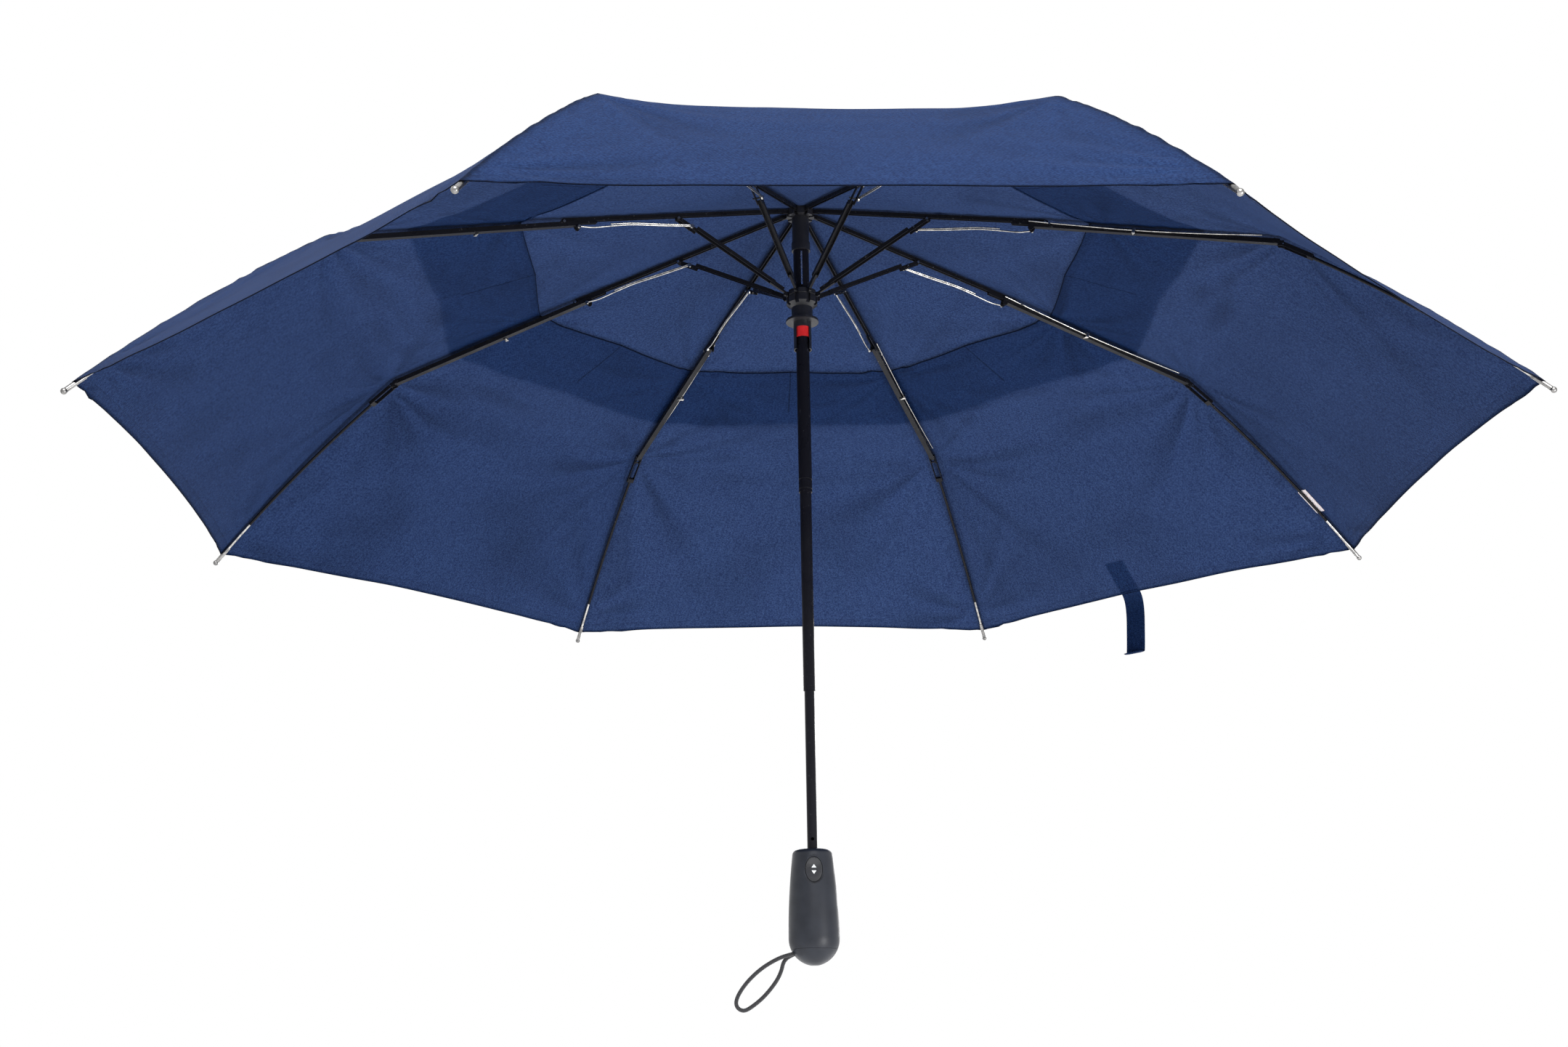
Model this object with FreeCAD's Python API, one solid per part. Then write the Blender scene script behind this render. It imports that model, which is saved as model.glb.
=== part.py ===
"""A folding umbrella: eight three-section ribs, a double canopy, a telescoping shaft and a push-button grip.

Millimetres, +Z up the shaft. The origin is the centre of the hand grip, on the shaft's axis.
One rib is drawn in the XZ plane, with Y across it, and then turned to its own place round the shaft.
A point of the rib plane is (distance from the axis, height above the crown's face).
"""

import FreeCAD
import Part
import math
import os

Vector = FreeCAD.Vector

# ---- driving dimensions -------------------------------------------------------------------------
RIBS = 8
FIRST_RIB_DEG = 22.5
CROWN_Z = 538.0                 # the crown's top face above the middle of the grip

RIB_ROOT = (8.5, -3.0)          # inner rib on the crown's ring wire
STRUT_TOP = (102.9, -26.5)      # strut on the inner rib
STRUT_FOOT = (13.6, -73.0)      # strut on the runner
ELBOW = (193.3, -46.1)          # middle rib on the inner rib
TIP = (525.0, -227.2)           # centre of the ball at the rib's tip
MIDDLE_DEG = -14.4              # the middle rib's slope
MIDDLE_LENGTH = 175.6
KNEE_DROP = 4.2                 # the knee's pivot below the middle rib's pivot line
OUTER_BOW_DEG = 5.4             # the outer rib leaves the knee this much shallower than its chord
WIRE_CRANK = 11.7               # drive wire's pivot on the strut, from the strut's top
WIRE_END = (182.1, -48.9)       # drive wire's hook at the middle rib's crank

INNER_WIDTH = 2.8
STRADDLE_WIDTH = 4.3            # middle ribs and struts close over the inner rib
FORK_WIDTH = 5.9
SHEET_METAL = 0.4
PIN_RADIUS = 0.6
PIN_CLEARANCE = 0.05
WIRE_RADIUS = 0.55
WIRE_ASIDE = 3.4                # the wires run beside the channels, clear of the rivet heads
OUTER_WIRE_RADIUS = 1.2
RING_RADIUS = 0.5               # the ring wire in the crown
TIP_SLEEVE_RADIUS = 1.7
TIP_BALL_RADIUS = 2.2
TIP_SLEEVE_SHARE = 0.92         # the bright sleeve starts at this share of the outer rib
RIVET_HEAD = (1.1, 0.3)         # radius and height

TOP_TUBE = (5.0, 4.4)           # outside and inside radius
MIDDLE_TUBE = (4.32, 3.68)
LOWER_TUBE = (3.6, 3.0)
TOP_TUBE_Z = (-232.0, -8.0)     # low and high end, from the crown's face
MIDDLE_TUBE_Z = (-383.0, -205.0)
LOWER_TUBE_Z = (-560.0, -357.0)
FIT = 0.03                      # a fixed tube's clearance on the radius

HEAD_RADIUS = 10.8              # the crown's notched head
HEAD_Z = (-6.5, -0.2)
STEM = (6.6, -28.0)             # the crown's stem: radius and low end
COLLAR = (7.2, -35.0)
SLEEVE = (6.0, -86.0)
RIB_SLOT_WIDTH = 2.4

RUNNER_BORE = 6.1
RUNNER_RING = (11.9, (-80.0, -70.0))
RUNNER_BARREL = (8.15, (-93.0, -69.5))
RUNNER_FLANGE = (12.5, (-94.8, -93.0))
RUNNER_SKIRT = (6.8, (-117.5, -94.0))
WINDOW_WIDTH = 9.6
WINDOW_TOP = -99.5
RED_BAND_Z = (-107.5, -99.5)
STRUT_SLOT_WIDTH = 3.0

CANOPY_THICKNESS = 0.5
UPPER_HEM_R = 303.0
LOWER_HEM_R = 218.0
CANOPY_CORNER = (521.0, -219.9)
SHOULDER = (193.0, -42.9)       # the cloth over the elbow
KNEE_TOP = (362.5, -86.2)       # the cloth over the knee
OVERLAP_GAP = 1.0               # the upper canopy lies this far above the lower one

STRAP_GORE_DEG = 45.0           # the middle of the gore that carries the strap
STRAP_ASIDE = 22.0              # the strap's middle lies this far to one side of it
STRAP_WIDTH = 20.0
STRAP_OUTSIDE = [(449.3, -185.2), (452.0, -187.6), (483.3, -219.8), (483.4, -222.5), (476.4, -276.0)]
STRAP_INSIDE = [(475.6, -276.0), (482.6, -222.4), (482.6, -220.3), (451.4, -188.2), (448.7, -185.8)]

LABEL_LENGTH = 25.0
LABEL_SHARE = 0.69              # the label's place along the outer rib
LABEL_SECTION = [(-6.2, -0.1), (0.0, 1.7), (2.8, 0.9), (2.8, 0.6), (0.0, 1.4), (-6.2, -0.4)]

GRIP_TOP = 40.0
GRIP_SEAM = -29.0
GRIP_BOTTOM = -39.8
GRIP_WALL = 2.4
BUTTON_Z = 25.0
BUTTON_HALF = (5.9, 8.6)        # half width and half height of the oval
BUTTON_FACE_Y = -16.0           # the button's flat before it is domed
BUTTON_BACK_Y = -9.7
CORE_RADIUS = 9.0

CORD_RADIUS = 1.4
CORD_STRANDS = (-1.8, 1.8)      # the two ends of the cord, side by side
CORD_HOLE_Z = -31.9
CORD_ROUTE = [
    (-14.2, -1.8, -31.7), (-21.2, -1.8, -33.2), (-29.2, -1.7, -36.7), (-37.3, -1.2, -41.6),
    (-44.9, -0.6, -48.1), (-50.4, -0.1, -54.5), (-53.9, 0.2, -60.2), (-55.1, 0.4, -64.4),
    (-54.2, 0.5, -67.5), (-51.7, 0.6, -69.5), (-48.5, 0.8, -69.8), (-43.9, 1.0, -67.2),
    (-37.3, 1.2, -62.2), (-31.3, 1.5, -56.0), (-25.9, 1.8, -48.9), (-23.0, 2.0, -42.6),
    (-21.9, 2.0, -37.6), (-19.0, 1.9, -33.9), (-14.2, 1.8, -31.9),
]

PARTS = "parts"


# ---- geometry helpers -----------------------------------------------------------------------------
def at(point, across=0.0):
    """A point of the rib plane as a vector of the whole umbrella."""
    return Vector(point[0], across, point[1] + CROWN_Z)


def slope(start, end):
    """The angle of the line from start to end, in degrees above horizontal."""
    return math.degrees(math.atan2(end[1] - start[1], end[0] - start[0]))


def step(start, degrees, along, up=0.0):
    """The point reached from start by going along a line at that slope, and up from it."""
    c = math.cos(math.radians(degrees))
    s = math.sin(math.radians(degrees))
    return (start[0] + along * c - up * s, start[1] + along * s + up * c)


def bar(start, degrees, x_range, width, y_range):
    """A box that lies along a line of the rib plane: x along the line, y up from it, width across."""
    box = Part.makeBox(
        x_range[1] - x_range[0], width, y_range[1] - y_range[0],
        Vector(x_range[0], -width / 2, y_range[0]))
    box.rotate(Vector(0, 0, 0), Vector(0, 1, 0), -degrees)
    box.translate(at(start))
    return box


def channel(start, degrees, x_range, width, y_range, web):
    """A U channel along a line. web is the closed side: top, bottom or none for two bare walls."""
    outer = bar(start, degrees, x_range, width, y_range)
    low, high = y_range
    low = low + SHEET_METAL if web == "bottom" else low - 1
    high = high - SHEET_METAL if web == "top" else high + 1
    hollow = bar(start, degrees, (x_range[0] - 1, x_range[1] + 1), width - 2 * SHEET_METAL, (low, high))
    return outer.cut(hollow)


def cross_pin(point, radius, length, across=0.0):
    """A round pin across the rib plane."""
    centre = at(point, across - length / 2)
    return Part.makeCylinder(radius, length, centre, Vector(0, 1, 0))


def ears(point, radius, width):
    """Two round ears, one on each side of the rib plane, SHEET_METAL thick."""
    return cross_pin(point, radius, width).cut(cross_pin(point, radius + 1, width - 2 * SHEET_METAL))


def rivet(point, width):
    """A rivet through a joint of that width, with a low head on each side."""
    radius, height = RIVET_HEAD
    shape = cross_pin(point, PIN_RADIUS, width + 2 * PIN_CLEARANCE)
    for side in (-1, 1):
        middle = side * (width / 2 + PIN_CLEARANCE + height / 2)
        shape = shape.fuse(cross_pin(point, radius, height, middle))
    return shape


def round_tube(points, radius, show=False):
    """A round section swept along straight runs joined by tangent arcs, as large as the runs allow."""
    edges = []
    here = points[0]
    for i in range(1, len(points) - 1):
        before = points[i - 1] - points[i]
        after = points[i + 1] - points[i]
        turn = math.pi - before.getAngle(after)
        shorter = min(before.Length, after.Length)
        bend = 0.45 * shorter / math.tan(turn / 2)
        back = bend * math.tan(turn / 2)
        before.normalize()
        after.normalize()
        start = points[i] + before * back
        end = points[i] + after * back
        bisector = before + after
        bisector.normalize()
        middle = points[i] + bisector * (bend / math.cos(turn / 2) - bend)
        edges.append(Part.LineSegment(here, start).toShape())
        edges.append(Part.Arc(start, middle, end).toShape())
        here = end
        if show:
            print("bend", i, "turn", round(math.degrees(turn)), "radius", round(bend, 1))
    edges.append(Part.LineSegment(here, points[-1]).toShape())
    path = Part.Wire(edges)
    section = Part.Wire([Part.makeCircle(radius, points[0], points[1] - points[0])])
    tube = path.makePipeShell([section], True, False)
    if show:
        expected = math.pi * radius ** 2 * path.Length
        print("length", round(path.Length, 1), "volume ratio", round(tube.Volume / expected, 4))
    return tube


def tube(radii, z_range):
    """A straight tube on the shaft's axis, its ends given from the crown's face."""
    length = z_range[1] - z_range[0]
    foot = Vector(0, 0, CROWN_Z + z_range[0])
    outer = Part.makeCylinder(radii[0], length, foot)
    return outer.cut(Part.makeCylinder(radii[1], length + 2, foot - Vector(0, 0, 1)))


def revolve(outline):
    """The closed outline of (radius, z) points, turned about the shaft's axis."""
    points = [Vector(r, 0, z) for r, z in outline]
    face = Part.Face(Part.makePolygon(points + [points[0]]))
    return face.revolve(Vector(0, 0, 0), Vector(0, 0, 1), 360)


def save(name, shape):
    """Writes one node."""
    shape.exportStep(os.path.join(PARTS, name + ".step"))


def save_round(name, shape):
    """Writes one rib's piece at all eight places, as nodes name_1 to name_8."""
    for i in range(RIBS):
        turned = shape.copy()
        turned.rotate(Vector(0, 0, 0), Vector(0, 0, 1), FIRST_RIB_DEG + i * 360 / RIBS)
        save(f"{name}_{i + 1}", turned)


# ---- one rib ----------------------------------------------------------------------------------------
INNER_DEG = slope(RIB_ROOT, ELBOW)
INNER_LENGTH = math.dist(RIB_ROOT, ELBOW)
KNEE = step(ELBOW, MIDDLE_DEG, MIDDLE_LENGTH, -KNEE_DROP)
OUTER_DEG = slope(KNEE, TIP)
OUTER_LENGTH = math.dist(KNEE, TIP)
STRUT_DEG = slope(STRUT_TOP, STRUT_FOOT)
STRUT_LENGTH = math.dist(STRUT_TOP, STRUT_FOOT)
WIRE_START = step(STRUT_TOP, STRUT_DEG, WIRE_CRANK)


def inner_rib():
    """The channel from the crown to the elbow, with a tab for the ring wire and lugs for the strut."""
    body_from = 4.6
    plates_from = INNER_LENGTH - 26
    depth = (-0.5, 2.5)
    body = channel(RIB_ROOT, INNER_DEG, (body_from, plates_from + 2), INNER_WIDTH, depth, "top")
    tab_width = 1.6
    tab = bar(RIB_ROOT, INNER_DEG, (-0.2, body_from + 2), tab_width, (-1.1, 2.3))
    tab = tab.fuse(cross_pin(RIB_ROOT, 1.3, tab_width))
    plates_depth = (-2.4, depth[1])
    plates = channel(RIB_ROOT, INNER_DEG, (plates_from, INNER_LENGTH), INNER_WIDTH, plates_depth, "none")
    plates = plates.fuse(ears(ELBOW, 2.3, INNER_WIDTH))
    lugs = ears(STRUT_TOP, 1.7, INNER_WIDTH)
    shape = body.fuse([tab, plates, lugs])
    for centre in (STRUT_TOP, ELBOW):
        shape = shape.cut(cross_pin(centre, PIN_RADIUS + PIN_CLEARANCE, 2 * INNER_WIDTH))
    return shape.cut(cross_pin(RIB_ROOT, PIN_RADIUS, 2 * INNER_WIDTH))


def strut():
    """The channel from the runner up to the inner rib. Its top is a clevis round the rib's lugs."""
    clevis = 16.0
    body_to = STRUT_LENGTH - 12
    depth = (-3.6, -0.7)
    walls = channel(STRUT_TOP, STRUT_DEG, (0, clevis + 1), STRADDLE_WIDTH, (-1.5, 1.4), "none")
    walls = walls.fuse(ears(STRUT_TOP, 1.6, STRADDLE_WIDTH))
    body = channel(STRUT_TOP, STRUT_DEG, (clevis, body_to), STRADDLE_WIDTH, depth, "bottom")
    foot_width = 1.9
    heel = bar(STRUT_TOP, STRUT_DEG, (body_to - 3, STRUT_LENGTH - 3.2), foot_width, (depth[0], 0.0))
    foot = bar(STRUT_TOP, STRUT_DEG, (body_to - 3, STRUT_LENGTH), foot_width, (-1.6, 0.0))
    foot = foot.fuse([heel, cross_pin(STRUT_FOOT, 1.6, foot_width)])
    shape = walls.fuse([body, foot])
    for centre in (STRUT_TOP, WIRE_START):
        shape = shape.cut(cross_pin(centre, PIN_RADIUS + 0.02, 2 * STRADDLE_WIDTH))
    wire_pin = cross_pin(WIRE_START, PIN_RADIUS, 2 * WIRE_ASIDE + 1.4)
    return Part.makeCompound([shape, rivet(STRUT_TOP, STRADDLE_WIDTH), wire_pin])


def middle_rib():
    """The channel from the elbow to the knee. The crank for the drive wire reaches in past the elbow."""
    body = channel(ELBOW, MIDDLE_DEG, (-9, MIDDLE_LENGTH - 3), STRADDLE_WIDTH, (-4.0, -0.3), "bottom")
    end_plates = channel(
        ELBOW, MIDDLE_DEG, (MIDDLE_LENGTH - 4, MIDDLE_LENGTH), STRADDLE_WIDTH, (-5.6, -1.5), "none")
    crank = channel(ELBOW, MIDDLE_DEG, (-12.2, -8), STRADDLE_WIDTH, (-5.6, -1.0), "none")
    eyes = [ears(ELBOW, 1.3, STRADDLE_WIDTH), ears(KNEE, 1.6, STRADDLE_WIDTH)]
    crank_eye = ears(WIRE_END, 1.6, STRADDLE_WIDTH)
    inside = STRADDLE_WIDTH / 2 - SHEET_METAL
    stud_height = 0.85
    stud = cross_pin(WIRE_END, 1.1, stud_height, inside + stud_height / 2)
    shape = body.fuse([end_plates, crank, crank_eye, stud, *eyes])
    for centre in (ELBOW, KNEE):
        shape = shape.cut(cross_pin(centre, PIN_RADIUS + 0.02, 2 * STRADDLE_WIDTH))
    return Part.makeCompound([shape, rivet(ELBOW, STRADDLE_WIDTH), *control_wire()])


def control_wire():
    """The thin wire beside the middle rib that works the outer rib, and the clip that guides it."""
    route = [(-12.0, -0.3), (7.0, -1.0), (68.0, -2.3), (118.0, -1.2), (160.0, 0.9)]
    points = [at(step(ELBOW, MIDDLE_DEG, x, y), -WIRE_ASIDE) for x, y in route]
    clip_at = 68.0
    clip = bar(ELBOW, MIDDLE_DEG, (clip_at - 1.2, clip_at + 1.2), 1.0, (-4.6, -0.4))
    clip.translate(Vector(0, -WIRE_ASIDE - 1.15, 0))
    band = bar(ELBOW, MIDDLE_DEG, (clip_at - 1.2, clip_at + 1.2), 4.4, (-4.6, -4.1))
    band.translate(Vector(0, -1.9, 0))
    crimp_at = step(ELBOW, MIDDLE_DEG, 4.0, -0.9)
    crimp = cross_pin(crimp_at, 0.9, 1.2, -WIRE_ASIDE)
    wire = round_tube(points, WIRE_RADIUS).fuse(crimp)
    return [wire, clip.fuse(band)]


def outer_rib():
    """The forked foot at the knee, the bowed round rib, and the metal tip with its ball."""
    start_deg = OUTER_DEG + OUTER_BOW_DEG
    fork = channel(KNEE, start_deg, (-8, 20), FORK_WIDTH, (-1.5, 1.5), "none")
    fork = fork.fuse(bar(KNEE, start_deg, (19, 23), FORK_WIDTH, (-1.5, 1.5)))
    fork = fork.cut(cross_pin(KNEE, PIN_RADIUS + PIN_CLEARANCE, 2 * FORK_WIDTH))
    rib = arc_rib(20 / OUTER_LENGTH, TIP_SLEEVE_SHARE, OUTER_WIRE_RADIUS)
    tip_sleeve = arc_rib(TIP_SLEEVE_SHARE, 0.992, TIP_SLEEVE_RADIUS)
    ball = Part.makeSphere(TIP_BALL_RADIUS, at(TIP))
    tip = tip_sleeve.fuse(ball)
    knee_pin = cross_pin(KNEE, PIN_RADIUS, FORK_WIDTH + 0.2)
    return Part.makeCompound([fork.fuse(rib), tip, knee_pin])


def bowed(share):
    """The point at that share of the outer rib's length, on its arc from the knee to the tip."""
    half = math.radians(OUTER_BOW_DEG)
    radius = OUTER_LENGTH / (2 * math.sin(half))
    turned = half * (2 * share - 1)
    along = OUTER_LENGTH / 2 + radius * math.sin(turned)
    up = radius * (math.cos(turned) - math.cos(half))
    return step(KNEE, OUTER_DEG, along, up)


def arc_rib(start, end, radius):
    """A round bar along a stretch of the outer rib's arc."""
    points = [at(bowed(share)) for share in (start, (start + end) / 2, end)]
    path = Part.Wire([Part.Arc(*points).toShape()])
    tangent = path.Edges[0].tangentAt(path.Edges[0].FirstParameter)
    section = Part.Wire([Part.makeCircle(radius, points[0], tangent)])
    return path.makePipeShell([section], True, False)


def drive_wire():
    """The doubled wire from the strut to the middle rib's crank. Its second strand stops half way."""
    long_deg = slope(WIRE_START, WIRE_END)
    reach = math.dist(WIRE_START, WIRE_END)
    long_route = [(1.2, 0), (24, 0.3), (49, 1.5), (66, 0.3), (81, -1.1), (reach - 1.2, 0)]
    short_route = [(1.2, 0.9), (24, 1.6), (49, 2.75), (66, 1.8)]
    solids = []
    for route in (long_route, short_route):
        points = [at(step(WIRE_START, long_deg, x, y), WIRE_ASIDE) for x, y in route]
        solids.append(round_tube(points, WIRE_RADIUS))
    eye = cross_pin(WIRE_START, 1.6, 1.1, WIRE_ASIDE)
    hook = cross_pin(WIRE_END, 1.3, 1.1, WIRE_ASIDE).cut(cross_pin(WIRE_END, 0.6, 2, WIRE_ASIDE))
    wire = solids[0].fuse([solids[1], eye, hook])
    return wire.cut(cross_pin(WIRE_START, PIN_RADIUS + PIN_CLEARANCE, 3, WIRE_ASIDE))


# ---- shaft, crown and runner --------------------------------------------------------------------------
def slots(width, inner_radius, z_range):
    """Eight radial slots, one for each rib, as one shape to cut away."""
    reach = 20.0
    height = z_range[1] - z_range[0]
    cutters = []
    for i in range(RIBS):
        corner = Vector(inner_radius, -width / 2, CROWN_Z + z_range[0])
        box = Part.makeBox(reach, width, height, corner)
        box.rotate(Vector(0, 0, 0), Vector(0, 0, 1), FIRST_RIB_DEG + i * 360 / RIBS)
        cutters.append(box)
    return cutters[0].fuse(cutters[1:])


def crown():
    """The notched head that carries the inner ribs, with its collar down over the top tube."""
    bore = TOP_TUBE[0] + FIT
    overlap = 0.5
    head = tube((HEAD_RADIUS, bore), HEAD_Z)
    cover = tube((HEAD_RADIUS, 1.6), (HEAD_Z[1] - 1, HEAD_Z[1]))
    stem = tube((STEM[0], bore), (STEM[1], HEAD_Z[0] + overlap))
    collar = tube((COLLAR[0], bore), (COLLAR[1], STEM[1]))
    body = head.fuse([stem, collar, cover]).cut(slots(RIB_SLOT_WIDTH, 6.9, (-7, 1)))
    return body.cut(ring(RIB_ROOT, RING_RADIUS + PIN_CLEARANCE))


def ring(point, thickness):
    """A wire ring round the shaft's axis through a rib plane point."""
    return Part.makeTorus(point[0], thickness, Vector(0, 0, CROWN_Z + point[1]))


def top_cap():
    """The rounded button on top of the canopy, with the screw that clamps the fabric to the crown."""
    dome = Part.makeSphere(9.5, Vector(0, 0, CROWN_Z - 0.5))
    dome = dome.common(Part.makeCylinder(12, 9, Vector(0, 0, CROWN_Z + 2.4)))
    screw = Part.makeCylinder(1.5, 9, Vector(0, 0, CROWN_Z - 6))
    return dome.fuse(screw)


def sleeve():
    """The black sleeve under the crown that the runner's catch holds on to. A slot shows its spring."""
    body = tube((SLEEVE[0], TOP_TUBE[0] + FIT), (SLEEVE[1], COLLAR[1]))
    slot = Part.makeBox(1.8, 3, 30, Vector(-0.9, -7.5, CROWN_Z - 66))
    return body.cut(slot)


def catch_spring():
    """The bright leaf spring in the sleeve's slot."""
    return Part.makeBox(1.2, 0.7, 28, Vector(-0.6, -5.95, CROWN_Z - 65))


def runner():
    """The sliding hub: a notched ring for the struts, a barrel, a finger flange and a skirt."""
    ring_radius, ring_z = RUNNER_RING
    barrel_radius, barrel_z = RUNNER_BARREL
    taper_height = 3.0
    overlap = 1.0
    barrel = tube((barrel_radius, RUNNER_BORE), barrel_z)
    strut_ring = tube((ring_radius, RUNNER_BORE), ring_z)
    low = CROWN_Z + ring_z[0] - taper_height
    high = CROWN_Z + ring_z[0]
    taper = revolve([(RUNNER_BORE, low), (barrel_radius, low), (ring_radius, high), (RUNNER_BORE, high)])
    flange = tube((RUNNER_FLANGE[0], RUNNER_BORE), RUNNER_FLANGE[1])
    skirt_z = RUNNER_SKIRT[1]
    skirt = tube((RUNNER_SKIRT[0], RUNNER_BORE), (skirt_z[0], skirt_z[1] + overlap))
    window_height = WINDOW_TOP - skirt_z[0] + 2
    corner = Vector(-WINDOW_WIDTH / 2, -8, CROWN_Z + WINDOW_TOP - window_height)
    skirt = skirt.cut(Part.makeBox(WINDOW_WIDTH, 8, window_height, corner))
    shape = barrel.fuse([strut_ring, taper, flange, skirt])
    shape = shape.cut(slots(STRUT_SLOT_WIDTH, 10.0, (ring_z[0] - 4, ring_z[1] + 1)))
    return shape.cut(ring((ring_radius - 0.2, ring_z[1] - 4), RING_RADIUS + PIN_CLEARANCE))


def crimp_grooves(shape, radius, heights):
    """Shallow rolled grooves round a tube."""
    for height in heights:
        groove = Part.makeTorus(radius + 0.15, 0.35, Vector(0, 0, CROWN_Z + height))
        shape = shape.cut(groove)
    return shape


def top_tube():
    """The widest tube, fixed in the crown."""
    return crimp_grooves(tube(TOP_TUBE, TOP_TUBE_Z), TOP_TUBE[0], (-222, -229.5))


def middle_tube():
    """The middle tube, which slides in the top tube."""
    return crimp_grooves(tube(MIDDLE_TUBE, MIDDLE_TUBE_Z), MIDDLE_TUBE[0], (-372, -380))


def lower_tube():
    """The narrowest tube, fixed in the grip, with the small hole for its stop pin."""
    body = tube(LOWER_TUBE, LOWER_TUBE_Z)
    hole = Part.makeCylinder(1.2, 3, Vector(0, -5.5, CROWN_Z - 490.5), Vector(0, 1, 0))
    return body.cut(hole)


def main_spring():
    """The coil spring at the foot of the shaft that drives the umbrella open."""
    turns, pitch, radius, thickness = 16, 2.6, 2.2, 0.4
    height = turns * pitch
    helix = Part.makeHelix(pitch, height, radius)
    section = Part.Wire([Part.makeCircle(thickness, Vector(radius, 0, 0), Vector(0, 1, 0))])
    coil = Part.Wire(helix.Edges).makePipeShell([section], True, True)
    coil.translate(Vector(0, 0, CROWN_Z + LOWER_TUBE_Z[0] + 4))
    return coil


# ---- grip ---------------------------------------------------------------------------------------------
def grip_outline(inset):
    """The grip's solid of revolution, moved in by inset all round."""
    corner = 3.5
    corner_cut = 0.29 * corner
    flat = 3.0
    top_radius = 14.4 - inset
    widest = 17.9 - inset
    top = GRIP_TOP - inset
    bottom = GRIP_BOTTOM + inset
    shoulder_start = Vector(top_radius - corner, 0, top)
    side_start = Vector(top_radius, 0, top - corner)
    base_start = Vector(widest, 0, -21)
    base_end = Vector(flat, 0, bottom)
    shoulder = Part.Arc(shoulder_start, Vector(top_radius - corner_cut, 0, top - corner_cut), side_start)
    side = Part.Arc(side_start, Vector(17.2 - inset, 0, 4), base_start)
    base = Part.Arc(base_start, Vector(13.9 - inset * 0.75, 0, -33.0 + inset * 0.7), base_end)
    edges = [
        Part.LineSegment(Vector(0, 0, top), shoulder_start).toShape(),
        shoulder.toShape(),
        side.toShape(),
        base.toShape(),
        Part.LineSegment(base_end, Vector(0, 0, bottom)).toShape(),
        Part.LineSegment(Vector(0, 0, bottom), Vector(0, 0, top)).toShape(),
    ]
    face = Part.Face(Part.Wire(edges))
    return face.revolve(Vector(0, 0, 0), Vector(0, 0, 1), 360)


def slab(low, high):
    """A wide block between two heights, to keep one stretch of the grip."""
    return Part.makeBox(60, 60, high - low, Vector(-30, -30, low))


def oval(grow, depth_range):
    """An upright oval prism through the front of the grip. Depth is measured along Y."""
    half_width = BUTTON_HALF[0] + grow
    half_height = BUTTON_HALF[1] + grow
    centre = Vector(0, depth_range[0], BUTTON_Z)
    top = centre + Vector(0, 0, half_height)
    side = centre + Vector(half_width, 0, 0)
    ellipse = Part.Ellipse(top, side, centre).toShape()
    face = Part.Face(Part.Wire([ellipse]))
    return face.extrude(Vector(0, depth_range[1] - depth_range[0], 0))


def grip_shell():
    """The hollow plastic grip, open at the seam, with the tube's hole and the button's oval."""
    rim, gap = 1.5, 0.35
    shell = grip_outline(0).cut(grip_outline(GRIP_WALL)).common(slab(GRIP_SEAM, GRIP_TOP + 1))
    bore = Part.makeCylinder(LOWER_TUBE[0] + FIT, 20, Vector(0, 0, BUTTON_Z))
    recess = oval(rim, (-30, -14.1))
    return shell.cut(bore).cut(recess).cut(oval(gap, (-30, 0)))


def grip_core():
    """The moulded core inside the grip that holds the shaft and guides the button."""
    foot, height = -24.0, 60.0
    tube_foot = CROWN_Z + LOWER_TUBE_Z[0] - 0.3
    body = Part.makeCylinder(CORE_RADIUS, height, Vector(0, 0, foot))
    body = body.cut(Part.makeCylinder(LOWER_TUBE[0] + FIT, 70, Vector(0, 0, tube_foot)))
    pocket = oval(0.9, (-12, -7.0))
    ribs = Part.makeBox(28, 1.6, 40, Vector(-14, -0.8, foot + 4))
    ribs = ribs.cut(Part.makeCylinder(CORE_RADIUS - 0.2, height, Vector(0, 0, foot)))
    return body.cut(pocket).fuse(ribs.common(grip_outline(GRIP_WALL + 0.2)))


def push_button():
    """The oval button: a domed cap in the grip's oval, with a short stem behind it."""
    dome_radius, stem_radius, stem_length = 30.0, 2.0, 0.3
    cap = oval(0, (BUTTON_FACE_Y, BUTTON_BACK_Y))
    dome = Part.makeSphere(dome_radius, Vector(0, dome_radius - 15.0, BUTTON_Z))
    stem = Part.makeCylinder(stem_radius, stem_length, Vector(0, BUTTON_BACK_Y, BUTTON_Z), Vector(0, 1, 0))
    return cap.common(dome).fuse(stem)


def button_spring():
    """The bent leaf behind the button that returns it."""
    width, length, thickness, leg = 3.0, 11.0, 0.3, 0.6
    front = -7.6
    low = BUTTON_Z - length / 2
    leaf = Part.makeBox(width, thickness, length, Vector(-width / 2, front, low))
    for z in (low, low + length - thickness):
        leaf = leaf.fuse(Part.makeBox(width, leg, thickness, Vector(-width / 2, front, z)))
    return leaf


def end_cap():
    """The domed cap that closes the grip, with the two holes for the wrist cord's ends."""
    seam_gap = 0.15
    cap = grip_outline(0).cut(grip_outline(GRIP_WALL)).common(slab(GRIP_BOTTOM - 5, GRIP_SEAM - seam_gap))
    for across in CORD_STRANDS:
        start = Vector(-18.5, across, CORD_HOLE_Z)
        cap = cap.cut(Part.makeCylinder(CORD_RADIUS + 0.02, 7, start, Vector(1, 0, 0)))
    return cap


# ---- wrist cord ---------------------------------------------------------------------------------------
def wrist_cord():
    """The looped cord, from one hole of the end cap round to the other."""
    return round_tube([Vector(*p) for p in CORD_ROUTE], CORD_RADIUS, show=True)


# ---- canopy -------------------------------------------------------------------------------------------
def octagon(point):
    """A closed octagon with its corners over the ribs."""
    corners = []
    for i in range(RIBS + 1):
        turn = math.radians(FIRST_RIB_DEG + i * 360 / RIBS)
        corners.append(Vector(point[0] * math.cos(turn), point[0] * math.sin(turn), CROWN_Z + point[1]))
    return Part.makePolygon(corners)


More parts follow.
